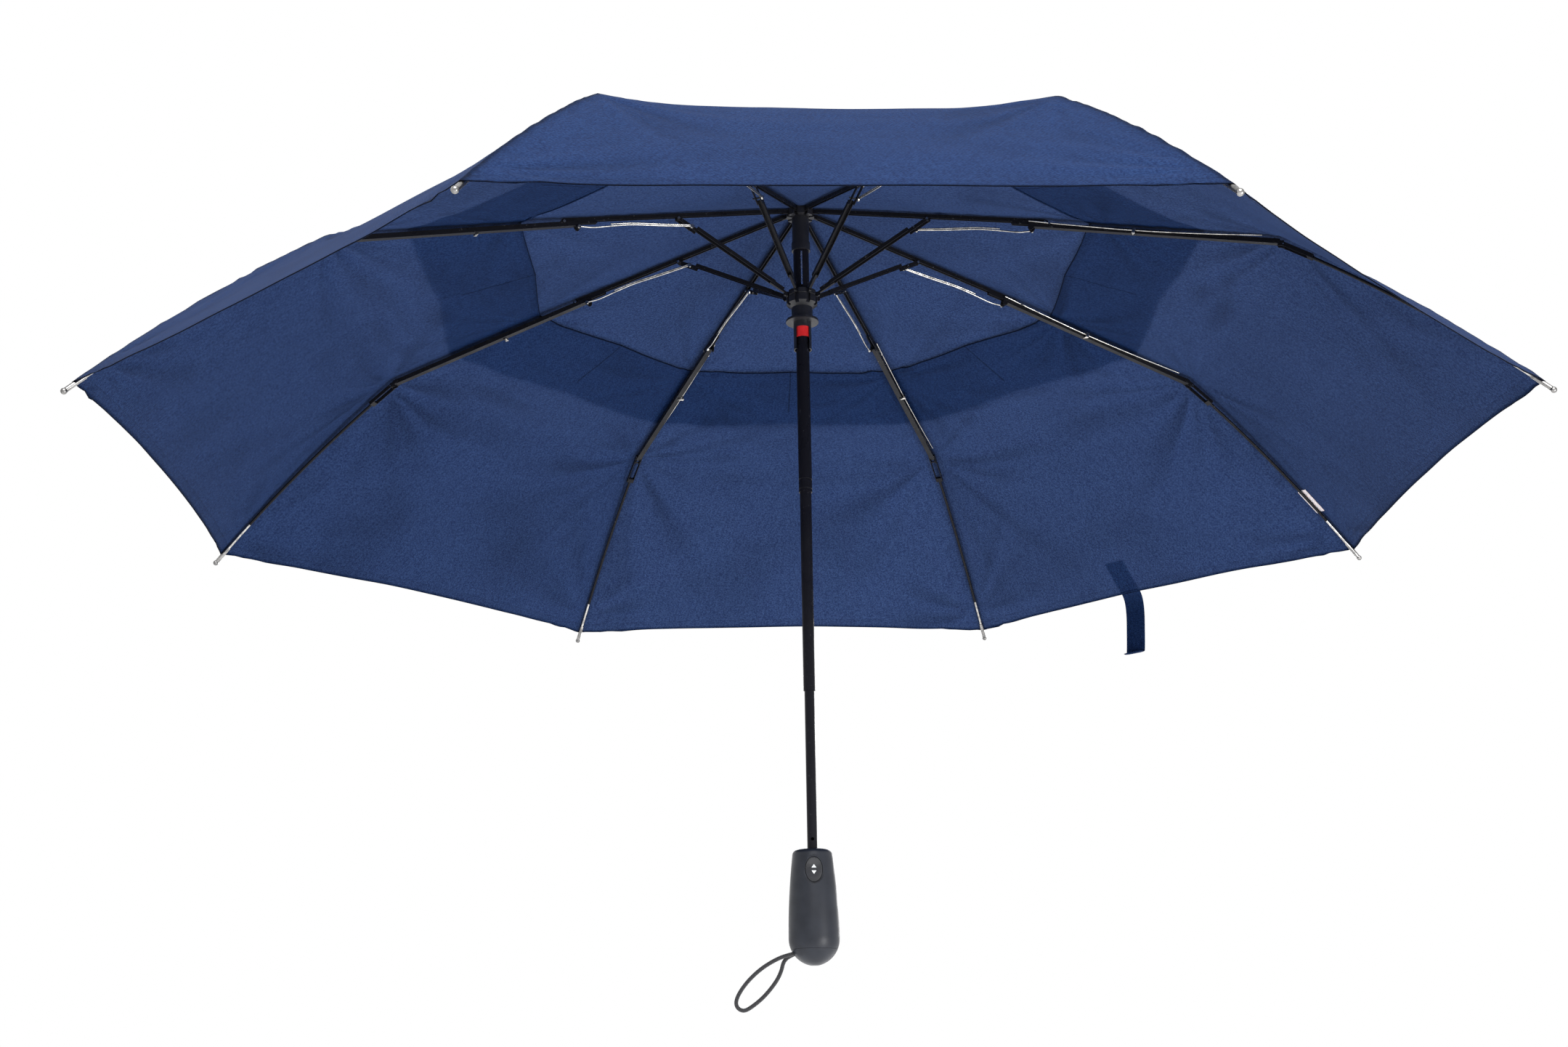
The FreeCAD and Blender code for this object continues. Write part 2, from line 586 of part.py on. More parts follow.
def cloth(profile):
    """A faceted shell of even height between the eight ribs, along a profile of rib plane points."""
    solids = []
    for lift in (0.0, CANOPY_THICKNESS):
        wires = [octagon((r, z + lift)) for r, z in profile]
        solids.append(wires)
    pieces = []
    for k in range(len(profile) - 1):
        outer = Part.makeLoft([solids[1][k], solids[1][k + 1]], False, True)
        inner = Part.makeLoft([solids[0][k], solids[0][k + 1]], False, True)
        pieces += outer.Faces + inner.Faces
    for k in (0, -1):
        rim = Part.makeLoft([solids[0][k], solids[1][k]], False, True)
        pieces += rim.Faces
    return Part.makeSolid(Part.makeShell(pieces))


def along_middle(r, lift):
    """A point over the middle rib at radius r, lift above the line from the elbow to the knee."""
    share = (r - SHOULDER[0]) / (KNEE_TOP[0] - SHOULDER[0])
    return (r, SHOULDER[1] + share * (KNEE_TOP[1] - SHOULDER[1]) + lift)


def canopy_lower():
    """The wide lower canopy, from its inner hem over the knees to the tips."""
    over_ribs = []
    for share in (0.25, 0.5, 0.75):
        r, z = bowed(share)
        over_ribs.append((r + 1.6, z + 2.3))
    return cloth([along_middle(LOWER_HEM_R, 0), KNEE_TOP, *over_ribs, CANOPY_CORNER])


def canopy_upper():
    """The upper canopy, from the crown out over the lower one's inner hem."""
    shoulder = (SHOULDER[0], SHOULDER[1] + OVERLAP_GAP)
    return cloth([(4.0, 1.1), (9.0, 0.9), shoulder, along_middle(UPPER_HEM_R, OVERLAP_GAP)])


def closure_strap():
    """The strap sewn to the outside of a gore near the hem, which hangs down past it."""
    outline = [Vector(r, 0, CROWN_Z + z) for r, z in STRAP_OUTSIDE + STRAP_INSIDE]
    face = Part.Face(Part.makePolygon(outline + [outline[0]]))
    strap = face.extrude(Vector(0, STRAP_WIDTH, 0))
    strap.translate(Vector(0, STRAP_ASIDE - STRAP_WIDTH / 2, 0))
    strap.rotate(Vector(0, 0, 0), Vector(0, 0, 1), STRAP_GORE_DEG)
    return strap


def care_label():
    """The small label folded over one outer rib, between the rib and the seam."""
    degrees = OUTER_DEG - OUTER_BOW_DEG * (2 * LABEL_SHARE - 1)
    start = step(bowed(LABEL_SHARE), degrees, -LABEL_LENGTH / 2)
    corners = [at(step(start, degrees, 0, up), across) for across, up in LABEL_SECTION]
    face = Part.Face(Part.makePolygon(corners + [corners[0]]))
    label = face.extrude(at(step(start, degrees, LABEL_LENGTH)) - at(start))
    label.rotate(Vector(0, 0, 0), Vector(0, 0, 1), FIRST_RIB_DEG)
    return label


def build():
    """Writes every node."""
    os.makedirs(PARTS, exist_ok=True)
    save_round("inner_rib", inner_rib())
    save_round("middle_rib", middle_rib())
    save_round("outer_rib", outer_rib())
    save_round("strut", strut())
    save_round("drive_wire", drive_wire())
    save("crown", Part.makeCompound([crown(), ring(RIB_ROOT, RING_RADIUS)]))
    save("top_cap", top_cap())
    save("crown_sleeve", sleeve())
    save("catch_spring", catch_spring())
    save("runner", runner())
    save("red_band", tube((RUNNER_BORE - 0.05, TOP_TUBE[0] + 0.1), RED_BAND_Z))
    save("top_tube", top_tube())
    save("middle_tube", middle_tube())
    save("lower_tube", lower_tube())
    save("main_spring", main_spring())
    save("grip_shell", grip_shell())
    save("grip_core", grip_core())
    save("push_button", push_button())
    save("button_spring", button_spring())
    save("end_cap", end_cap())
    save("wrist_cord", wrist_cord())
    save("canopy_upper", canopy_upper())
    save("canopy_lower", canopy_lower())
    save("closure_strap", closure_strap())
    save("care_label", care_label())


build()
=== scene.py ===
"""The look of the folding umbrella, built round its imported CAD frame. Metres, +Z up the shaft."""

import math
import bpy
import numpy as np
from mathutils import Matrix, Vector, noise


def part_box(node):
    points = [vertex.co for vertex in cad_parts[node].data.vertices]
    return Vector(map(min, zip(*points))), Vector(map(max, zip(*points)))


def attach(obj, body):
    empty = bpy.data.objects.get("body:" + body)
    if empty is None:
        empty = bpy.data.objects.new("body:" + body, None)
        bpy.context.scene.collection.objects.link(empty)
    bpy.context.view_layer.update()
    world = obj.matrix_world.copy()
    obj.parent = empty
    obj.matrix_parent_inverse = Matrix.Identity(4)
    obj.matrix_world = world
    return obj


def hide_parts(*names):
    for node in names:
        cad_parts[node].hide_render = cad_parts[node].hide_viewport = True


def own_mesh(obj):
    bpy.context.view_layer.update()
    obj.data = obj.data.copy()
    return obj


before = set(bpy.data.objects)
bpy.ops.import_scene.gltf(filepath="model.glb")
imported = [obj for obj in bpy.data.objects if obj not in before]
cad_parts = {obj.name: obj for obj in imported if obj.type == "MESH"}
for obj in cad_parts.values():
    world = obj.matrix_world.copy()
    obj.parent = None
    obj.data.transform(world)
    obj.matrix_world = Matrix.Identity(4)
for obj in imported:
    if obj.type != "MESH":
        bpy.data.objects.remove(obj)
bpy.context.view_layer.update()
scene = bpy.context.scene

# ---- sizes ----------------------------------------------------------------------------------------
RIBS = 8
FIRST_RIB = math.radians(22.5)
GORE = 2 * math.pi / RIBS
HALF_TAN = math.tan(GORE / 2)

CROWN_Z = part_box("crown")[1].z          # the crown's top face
SHOULDER = (0.1930, -0.0429)            # cloth over the elbow, from the crown's face
KNEE_TOP = (0.3625, -0.0862)            # cloth over the knee
CORNER = (0.5210, -0.2199)              # the cloth's corner at a rib's tip
CENTRE_LIFT = 0.0012                    # the cloth at the shaft lies this far above the crown's face
LOWER_BOW = 0.0057                      # the outer rib's bow lifts the cloth this much half way
UPPER_HEM_R = 0.309                     # at a rib
LOWER_HEM_R = 0.226
LAYER_GAP = 0.0013                      # the upper canopy lies this far above the lower one
HEM_SCALLOP = 0.009                     # the outer hem runs in this far between two tips
RIDGE = 0.006                           # how softly the cloth turns over a rib, as a share of half a gore

MM = 0.001


# ---- camera, light and floor ----------------------------------------------------------------------
def make_camera():
    """The camera, below the canopy and in front of it."""
    data = bpy.data.cameras.new("camera")
    data.sensor_width = 36
    data.lens = 44.61
    data.clip_start = 0.01
    camera = bpy.data.objects.new("camera", data)
    camera.location = (-0.07426, -1.3819, -0.14104)
    camera.rotation_euler = [math.radians(a) for a in (107.007, 0.868, -2.127)]
    scene.collection.objects.link(camera)
    scene.camera = camera


def area_light(name, place, target, size, watts):
    """A soft square lamp that looks at a point."""
    data = bpy.data.lights.new(name, "AREA")
    data.size = size
    data.energy = watts
    lamp = bpy.data.objects.new(name, data)
    lamp.location = place
    lamp.rotation_euler = (Vector(target) - Vector(place)).to_track_quat("-Z", "Y").to_euler()
    scene.collection.objects.link(lamp)


def make_studio():
    """A bright even room, three soft lamps, and a pale floor far below."""
    world = bpy.data.worlds.new("studio")
    world.use_nodes = True
    background = world.node_tree.nodes["Background"]
    background.inputs["Color"].default_value = (1.0, 1.0, 1.0, 1.0)
    background.inputs["Strength"].default_value = 1.0
    scene.world = world
    scene.view_settings.view_transform = "Standard"
    area_light("top_light", (0.05, -1.7, 1.6), (0, -0.2, 0.4), 1.4, 62)
    area_light("front_light", (1.2, -1.3, -0.45), (0, 0, 0.0), 0.5, 20)
    area_light("back_light", (0.5, 1.9, 0.9), (0, 0.3, 0.35), 1.4, 46)
    bpy.ops.mesh.primitive_plane_add(size=9, location=(0, 0, -0.62))
    floor = bpy.context.object
    floor.name = "floor"
    material, tree, shader = new_material("floor_paper", 0.9)
    shader.inputs["Base Color"].default_value = (0.86, 0.86, 0.86, 1)
    floor.data.materials.append(material)


# ---- material helpers -----------------------------------------------------------------------------
def new_material(name, roughness, **sockets):
    """A Principled material and its tree and shader. sockets are constant values by socket name."""
    material = bpy.data.materials.new(name)
    material.use_nodes = True
    tree = material.node_tree
    shader = tree.nodes["Principled BSDF"]
    shader.inputs["Roughness"].default_value = roughness
    for key, value in sockets.items():
        shader.inputs[key.replace("_", " ")].default_value = value
    return material, tree, shader


def rest_place(tree):
    """The surface point in the rest frame."""
    return tree.nodes.new("ShaderNodeTexCoord").outputs["Object"]


def uv_place(tree):
    """The place on the cut cloth, in metres across and along."""
    node = tree.nodes.new("ShaderNodeUVMap")
    node.uv_map = "cloth"
    return node.outputs["UV"]


def noise_value(tree, place, scale, detail=3.0, stretch=None):
    """Noise of about 1/scale metres."""
    if stretch is not None:
        mapping = tree.nodes.new("ShaderNodeMapping")
        mapping.inputs["Scale"].default_value = stretch
        tree.links.new(place, mapping.inputs["Vector"])
        place = mapping.outputs["Vector"]
    node = tree.nodes.new("ShaderNodeTexNoise")
    node.inputs["Scale"].default_value = scale
    node.inputs["Detail"].default_value = detail
    tree.links.new(place, node.inputs["Vector"])
    return node.outputs["Fac"]


def ramp(tree, value, stops):
    """A colour or grey for each value, between stops of (value, colour)."""
    node = tree.nodes.new("ShaderNodeValToRGB")
    elements = node.color_ramp.elements
    while len(elements) < len(stops):
        elements.new(0.5)
    for element, (position, colour) in zip(elements, stops):
        element.position = position
        element.color = (*colour, 1)
    tree.links.new(value, node.inputs["Fac"])
    return node.outputs["Color"]


def grey(value):
    return (value, value, value)


def maths(tree, operation, first, second=0.0):
    """One Math node. Each input is a socket or a number."""
    node = tree.nodes.new("ShaderNodeMath")
    node.operation = operation
    for socket, given in zip(node.inputs, (first, second)):
        if isinstance(given, (int, float)):
            socket.default_value = given
        else:
            tree.links.new(given, socket)
    return node.outputs["Value"]


def mix_colour(tree, share, first, second, blend="MIX"):
    """A mix of two colours. Each input is a socket or a colour."""
    node = tree.nodes.new("ShaderNodeMix")
    node.data_type = "RGBA"
    node.blend_type = blend
    for key, given in ((0, share), (6, first), (7, second)):
        if isinstance(given, (int, float)):
            node.inputs[key].default_value = given
        elif isinstance(given, tuple):
            node.inputs[key].default_value = (*given, 1)
        else:
            tree.links.new(given, node.inputs[key])
    return node.outputs[2]


def bump(tree, shader, height, strength, distance):
    """Surface relief from a height value."""
    node = tree.nodes.new("ShaderNodeBump")
    node.inputs["Strength"].default_value = strength
    node.inputs["Distance"].default_value = distance
    tree.links.new(height, node.inputs["Height"])
    tree.links.new(node.outputs["Normal"], shader.inputs["Normal"])
    return node.outputs["Normal"]


def split_axes(tree, vector):
    """The X, Y and Z of a vector."""
    node = tree.nodes.new("ShaderNodeSeparateXYZ")
    tree.links.new(vector, node.inputs["Vector"])
    return [node.outputs[axis] for axis in "XYZ"]


def stored(tree, name, output):
    """A value kept on the mesh's points."""
    node = tree.nodes.new("ShaderNodeAttribute")
    node.attribute_name = name
    return node.outputs[output]


def darken(tree, colour, value, shades):
    """The colour, darker where the value says so. shades are stops of (value, share of the light)."""
    greys = ramp(tree, value, [(stop, grey(shade)) for stop, shade in shades])
    return mix_colour(tree, 1.0, colour, greys, "MULTIPLY")


def weave(tree, place, pitch):
    """Plain weave as a height: warp and weft waves that alternate."""
    waves = []
    for axis in split_axes(tree, place)[:2]:
        turns = maths(tree, "MULTIPLY", axis, math.pi / pitch)
        waves.append(maths(tree, "SINE", turns))
    crossed = maths(tree, "MULTIPLY", waves[0], waves[1])
    return maths(tree, "MULTIPLY_ADD", crossed, 0.5)


# ---- materials ------------------------------------------------------------------------------------
SHINE_TINT = (3.0, 1.75, 1.15)          # light that comes through the cloth, against light off it

# how much light the sewn cloth sends back, by distance in centimetres from each thing. Beside the ribs, in
# the folds and along the vent tethers it is painted shade.
HEM_SHADES = ((0.05, 0.35), (0.13, 0.92), (0.60, 0.94), (0.64, 0.80), (0.70, 1.0))
# the rib seams: a darker seam line, then painted shade that fades out over the centimetre of cloth beside
# each rib
SEAM_AND_RIB_SHADE = ((0.14, 0.45), (0.40, 0.86), (1.0, 1.0))
# painted shadow: a thin dark line down the middle of each gore, where a vent tether keeps light from coming
# through the cloth
TETHER_PAINTED_SHADOW = ((0.05, 0.55), (0.11, 1.0))
# painted shade in the cloth's small folds: darker in the valleys
FOLD_PAINTED_SHADE = ((0.15, 0.66), (0.50, 0.94), (0.85, 1.0))   # by height: 0 in a valley, 1 on a crest


def sewn(tree, colour):
    """The cloth's colour with its stitched hem and rib seams, painted shade beside the ribs and in the
    folds, and painted shadow along the vent tethers.
    """
    distances = split_axes(tree, stored(tree, "edge", "Vector"))
    hem, seam, tether = (maths(tree, "MULTIPLY", distance, 100.0) for distance in distances)
    colour = darken(tree, colour, hem, HEM_SHADES)
    # the seams, and painted shade beside the ribs
    colour = darken(tree, colour, seam, SEAM_AND_RIB_SHADE)
    # painted shade in the folds
    colour = darken(tree, colour, stored(tree, "fold_shade", "Fac"), FOLD_PAINTED_SHADE)
    # painted shadow along the vent tethers
    return darken(tree, colour, tether, TETHER_PAINTED_SHADOW)


def cloth_material(name, deep, light, shine_through, canopy):
    """Woven pongee: a fine mottled weave and light through it. The canopy's has its sewing and its painted
    shade too.
    """
    material, tree, shader = new_material(name, 0.62)
    shader.inputs["Specular IOR Level"].default_value = 0.03
    place = uv_place(tree)
    mottle = noise_value(tree, rest_place(tree), 700, 2.0)
    slubs = noise_value(tree, place, 500, 2.0, (1.0, 0.12, 1.0))
    grain = maths(tree, "ADD", maths(tree, "MULTIPLY", mottle, 0.8), maths(tree, "MULTIPLY", slubs, 0.2))
    colour = ramp(tree, grain, [(0.36, deep), (0.64, light)])
    broad = noise_value(tree, rest_place(tree), 14, 2.0)
    patches = ramp(tree, broad, [(0.3, grey(0.78)), (0.7, grey(1.0))])
    colour = mix_colour(tree, 0.35, colour, patches, "MULTIPLY")
    if canopy:
        colour = sewn(tree, colour)
    tree.links.new(colour, shader.inputs["Base Color"])
    rough = ramp(tree, grain, [(0.3, grey(0.52)), (0.7, grey(0.70))])
    tree.links.new(rough, shader.inputs["Roughness"])
    height = maths(tree, "ADD", weave(tree, place, 0.0011), mottle)
    normal = bump(tree, shader, height, 0.28, 0.0004)
    through = tree.nodes.new("ShaderNodeBsdfTranslucent")
    tree.links.new(mix_colour(tree, 1.0, colour, SHINE_TINT, "MULTIPLY"), through.inputs["Color"])
    tree.links.new(normal, through.inputs["Normal"])
    mix = tree.nodes.new("ShaderNodeMixShader")
    mix.inputs["Fac"].default_value = shine_through
    tree.links.new(shader.outputs["BSDF"], mix.inputs[1])
    tree.links.new(through.outputs["BSDF"], mix.inputs[2])
    tree.links.new(mix.outputs["Shader"], tree.nodes["Material Output"].inputs["Surface"])
    return material


def painted_metal(name, base, worn):
    """Black enamel on steel: glossy, with fine orange peel, dust and small worn flecks."""
    material, tree, shader = new_material(name, 0.3)
    shader.inputs["Specular IOR Level"].default_value = 0.12
    place = rest_place(tree)
    flecks = noise_value(tree, place, 420, 4.0)
    dust = noise_value(tree, place, 60, 3.0)
    colour = ramp(tree, flecks, [(0.35, base), (0.66, base), (0.74, worn)])
    tree.links.new(colour, shader.inputs["Base Color"])
    tree.links.new(ramp(tree, dust, [(0.3, grey(0.22)), (0.7, grey(0.42))]), shader.inputs["Roughness"])
    bump(tree, shader, noise_value(tree, place, 1500, 2.0), 0.12, 0.0002)
    return material


def bright_metal(name, dark, pale):
    """Nickelled steel wire and rivets, drawn and slightly dull."""
    material, tree, shader = new_material(name, 0.3, Metallic=1.0)
    place = rest_place(tree)
    stain = noise_value(tree, place, 260, 4.0)
    tree.links.new(ramp(tree, stain, [(0.3, dark), (0.7, pale)]), shader.inputs["Base Color"])
    tree.links.new(ramp(tree, stain, [(0.3, grey(0.38)), (0.7, grey(0.2))]), shader.inputs["Roughness"])
    bump(tree, shader, noise_value(tree, place, 2400, 2.0), 0.1, 0.0001)
    return material


def moulded(name, low, high, rough, grain=2200, relief=0.25, shine=0.45):
    """Moulded plastic with a fine eroded grain and rubbed high spots."""
    material, tree, shader = new_material(name, rough)
    shader.inputs["Specular IOR Level"].default_value = shine
    place = rest_place(tree)
    tone = noise_value(tree, place, 90, 4.0)
    tree.links.new(ramp(tree, tone, [(0.3, low), (0.7, high)]), shader.inputs["Base Color"])
    rubbed = ramp(tree, tone, [(0.3, grey(rough + 0.06)), (0.72, grey(rough - 0.06))])
    tree.links.new(rubbed, shader.inputs["Roughness"])
    bump(tree, shader, noise_value(tree, place, grain, 2.0), relief, 0.0003)
    return material


def braided(name, low, high):
    """Braided cord: crossing diagonal strands along and round it."""
    material, tree, shader = new_material(name, 0.75, Sheen_Weight=0.3)
    place = rest_place(tree)
    strands = []
    for slant in (1, -1):
        mapping = tree.nodes.new("ShaderNodeMapping")
        mapping.inputs["Rotation"].default_value = (0.3, slant * 0.78, 0.2)
        tree.links.new(place, mapping.inputs["Vector"])
        wave = tree.nodes.new("ShaderNodeTexWave")
        wave.inputs["Scale"].default_value = 420
        wave.inputs["Distortion"].default_value = 0.6
        tree.links.new(mapping.outputs["Vector"], wave.inputs["Vector"])
        strands.append(wave.outputs["Fac"])
    braid = maths(tree, "MULTIPLY", strands[0], strands[1])
    tree.links.new(ramp(tree, braid, [(0.1, low), (0.8, high)]), shader.inputs["Base Color"])
    bump(tree, shader, braid, 0.6, 0.0005)
    return material


NAVY_DEEP = (0.0066, 0.0175, 0.066)
NAVY_LIGHT = (0.0155, 0.0390, 0.120)
CLOTH = cloth_material("navy_pongee", NAVY_DEEP, NAVY_LIGHT, 0.30, True)
WEBBING = cloth_material("navy_strap", (0.005, 0.014, 0.050), (0.012, 0.030, 0.092), 0.12, False)
LABEL = cloth_material("white_satin", (0.62, 0.63, 0.66), (0.86, 0.87, 0.90), 0.15, False)
ENAMEL = painted_metal("black_enamel", (0.008, 0.008, 0.010), (0.05, 0.05, 0.055))
TUBE_BLACK = painted_metal("tube_black", (0.006, 0.006, 0.009), (0.03, 0.03, 0.036))
STEEL = bright_metal("nickelled_steel", (0.26, 0.25, 0.24), (0.66, 0.64, 0.60))
TIP_STEEL = bright_metal("tip_steel", (0.14, 0.14, 0.14), (0.36, 0.35, 0.34))
GLINT = bright_metal("catch_steel", (0.70, 0.70, 0.72), (0.92, 0.92, 0.94))
NYLON = moulded("black_nylon", (0.006, 0.006, 0.008), (0.016, 0.016, 0.019), 0.36)
SATIN = moulded("grip_satin", (0.008, 0.010, 0.016), (0.015, 0.018, 0.026), 0.38, 1600, 0.10, 0.34)
BUTTON = moulded("button_gloss", (0.006, 0.007, 0.010), (0.014, 0.015, 0.020), 0.28)
RED = moulded("red_nylon", (0.42, 0.008, 0.010), (0.62, 0.020, 0.020), 0.4)
PRINT = moulded("pale_print", (0.62, 0.66, 0.70), (0.80, 0.83, 0.86), 0.5)
CORD = braided("black_braid", (0.006, 0.006, 0.008), (0.030, 0.030, 0.036))


# ---- wrist cord -----------------------------------------------------------------------------------
CORD_RADIUS = 0.0014
CORD_ROUTE = [
    (-14.2, -1.8, -31.7), (-21.2, -1.8, -33.2), (-29.2, -1.7, -36.7), (-37.3, -1.2, -41.6),
    (-44.9, -0.6, -48.1), (-50.4, -0.1, -54.5), (-53.9, 0.2, -60.2), (-55.1, 0.4, -64.4),
    (-54.2, 0.5, -67.5), (-51.7, 0.6, -69.5), (-48.5, 0.8, -69.8), (-43.9, 1.0, -67.2),
    (-37.3, 1.2, -62.2), (-31.3, 1.5, -56.0), (-25.9, 1.8, -48.9), (-23.0, 2.0, -42.6),
    (-21.9, 2.0, -37.6), (-19.0, 1.9, -33.9), (-14.2, 1.8, -31.9),
]


def make_cord():
    """The looped wrist cord, both ends in the end cap."""
    data = bpy.data.curves.new("wrist_loop", "CURVE")
    data.dimensions = "3D"
    data.bevel_depth = CORD_RADIUS
    data.bevel_resolution = 5
    data.resolution_u = 10
    data.use_fill_caps = True
    spline = data.splines.new("NURBS")
    spline.points.add(len(CORD_ROUTE) - 1)
    for point, (x, y, z) in zip(spline.points, CORD_ROUTE):
        point.co = (x * MM, y * MM, z * MM, 1)
    spline.order_u = 3
    spline.use_endpoint_u = True
    cord = bpy.data.objects.new("wrist_loop", data)
    scene.collection.objects.link(cord)
    data.materials.append(CORD)
    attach(cord, "grip")
    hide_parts("wrist_cord")


# ---- canopy surface ---------------------------------------------------------------------------------
def smooth_min(a, b, width):
    """The lower of two heights, rounded over about that width."""
    return (a + b - np.sqrt((a - b) ** 2 + width ** 2)) / 2


def line(r, start, end):
    """The height at r on the line through two rib plane points."""
    return start[1] + (r - start[0]) / (end[0] - start[0]) * (end[1] - start[1])


def rib_height(r, softness):
    """The cloth's height on a rib at distance r from the shaft, from the crown's face.

    softness rounds its bends over the elbow and the knee.
    """
    inner = line(r, (0.006, CENTRE_LIFT), SHOULDER)
    middle = line(r, SHOULDER, KNEE_TOP)
    share = (r - KNEE_TOP[0]) / (CORNER[0] - KNEE_TOP[0])
    outer = line(r, KNEE_TOP, CORNER) + LOWER_BOW * 4 * share * (1 - share)
    return smooth_min(smooth_min(inner, middle, 0.0012 + softness * 0.3), outer, 0.0008 + softness * 0.8)


def gore_share(c):
    """The share of the way from this rib to the next, for a strip's column c from -1 to 1."""
    side = np.abs(c)
    return side * HALF_TAN / ((1 + side * HALF_TAN ** 2) * math.sin(GORE))


# folds that fan out from places on each rib: distance from the shaft, reach, height
TENSION_KNOTS = ((0.235, 0.050, 0.0034), (0.365, 0.060, 0.0040), (0.505, 0.055, 0.0036))


def ripple(points):
    """Small folds of the cloth, as heights at world points."""
    out = np.zeros(len(points))
    for k, (x, y, z) in enumerate(points):
        radius = math.hypot(x, y)
        turn = (math.atan2(y, x) - FIRST_RIB) / GORE
        across = turn - math.floor(turn)
        middle = 4 * across * (1 - across)
        near_rib = math.exp(-min(across, 1 - across) * GORE * radius / 0.016)
        broad = noise.noise((x * 14, y * 14, 3.1))
        gore = math.floor(turn)
        taut = noise.noise((radius * 95, gore * 7.3 + across * 1.4, 1.7))
        pucker = noise.noise((radius * 120, math.floor(turn + 0.5) * 5.1, across * 3.0))
        band = math.exp(-((radius - 0.30) / 0.09) ** 2)
        out[k] = 0.0010 * broad * middle + 0.0009 * taut * middle * band
        out[k] += 0.0010 * pucker * near_rib * (1 - middle)
        for knot_r, reach, height in TENSION_KNOTS:
            for side in (0, 1):
                away = (across - side) * GORE * radius
                run = math.hypot(radius - knot_r, away)
                bearing = math.atan2(abs(away), radius - knot_r)
                fold = noise.noise((bearing * 5.5, gore * 3.7 + side * 9.1, knot_r * 40))
                rise = min(run / 0.02, 1.0) * math.exp(-run / reach)
                off_rib = min(abs(away) / 0.012, 1.0)
                out[k] += height * fold * rise * off_rib * (0.25 + 0.75 * min(4 * middle, 1.0))
    return out


# how far the cloth dips half way between two ribs: distances from the shaft, and the dip at each
LOWER_DIP = ((0.0, 0.222, 0.300, 0.362, 0.43, 0.521), (0.0, 0.0015, 0.0045, 0.0055, 0.008, 0.006))
UPPER_DIP = ((0.0, 0.15, 0.222, 0.306), (0.0, 0.002, 0.001, 0.0035))


def cloth_points(rib, r, c, upper):
    """World points of a canopy layer at distance r along a strip's column c (arrays)."""
    side = (np.sqrt(c ** 2 + RIDGE ** 2) - RIDGE) / (math.sqrt(1 + RIDGE ** 2) - RIDGE)
    t = gore_share(side)
    along = r / (1 + side * HALF_TAN ** 2)
    across = np.sign(c) * along * side * HALF_TAN
    bulge = 1 - np.abs(1 - 2 * t) ** 3.6
    height = rib_height(r, 0.010 * bulge)
    dip = np.interp(r, *(UPPER_DIP if upper else LOWER_DIP))
    lift = LAYER_GAP if upper else 0.0
    height = height - dip * bulge + lift
    azimuth = FIRST_RIB + rib * GORE
    x = along * math.cos(azimuth) - across * math.sin(azimuth)
    y = along * math.sin(azimuth) + across * math.cos(azimuth)
    return np.stack([x, y, CROWN_Z + height], axis=1)


def surface(rib, r, c, upper):
    """Points, outward normals and fold heights. The points have the small folds in them."""
    dr, dc = 0.002, 0.02                # steps outwards and across that give the normals
    points = cloth_points(rib, r, c, upper)
    folds = ripple(points)
    points[:, 2] += folds
    moved = []
    for out, across in ((dr, 0), (-dr, 0), (0, dc), (0, -dc)):
        p = cloth_points(rib, r + out, c + across, upper)
        p[:, 2] += ripple(p)
        moved.append(p)
    normals = np.cross(moved[0] - moved[1], moved[2] - moved[3])
    normals /= np.linalg.norm(normals, axis=1)[:, None]
    return points, normals, folds


def knee_r(c):
    """Where the cloth passes from the middle rib's stretch to the outer rib's, by column."""
    return KNEE_TOP[0] * (1 + 0.6 * np.abs(c) * HALF_TAN ** 2)


def elbow_r(c):
    """Where the cloth passes from the inner rib's stretch to the middle rib's, by column."""
    return SHOULDER[0] * (1 + np.abs(c) * HALF_TAN ** 2)


def outer_hem_r(c):
    """The outer hem, which runs in between the tips."""
    bulge = 1 - np.abs(1 - 2 * gore_share(c)) ** 2.6
    return CORNER[0] - HEM_SCALLOP * bulge


def hem_r(radius, sag):
    """An edge at one distance from the shaft at the ribs, and sag nearer to it half way between them."""
    return lambda c: radius - sag * np.abs(c)


INNER_SLOPE = -13.4                     # of each rib section, in degrees
MIDDLE_SLOPE = -14.4
OUTER_SLOPE = -40.7

# name: body, upper layer, inner edge, outer edge, rows, hemmed edge, rib slope, share kept when folded
STRETCHES = {
    "canopy_top_inner": ("inner_rib", True, hem_r(0.0045, 0.0), elbow_r, 34, None, INNER_SLOPE, 0.12),
    "canopy_top_outer": (
        "middle_rib", True, elbow_r, hem_r(UPPER_HEM_R, 0.008), 26, "end", MIDDLE_SLOPE, 0.08),
    "canopy_main_inner": (
        "middle_rib", False, hem_r(LOWER_HEM_R, 0.004), knee_r, 40, "start", MIDDLE_SLOPE, 0.08),
    "canopy_main_outer": ("outer_rib", False, knee_r, outer_hem_r, 44, "end", OUTER_SLOPE, 0.05),
}
COLUMNS = 34
HEM_FOLDS = ((0.0004, 0.0007), (0.0016, 0.0005))    # the turned hem: how far in from the edge, how far under
FAR = 0.05                              # stands for any long distance from a hem or a tether
TETHER_R = 0.062                        # a vent tether starts this far from the lower canopy's inner hem
TETHER_SLANT = 0.25                     # how fast its line leaves the middle of the gore
CREASE_RANGE = 0.0036                   # fold heights from the lowest valley to the highest crest


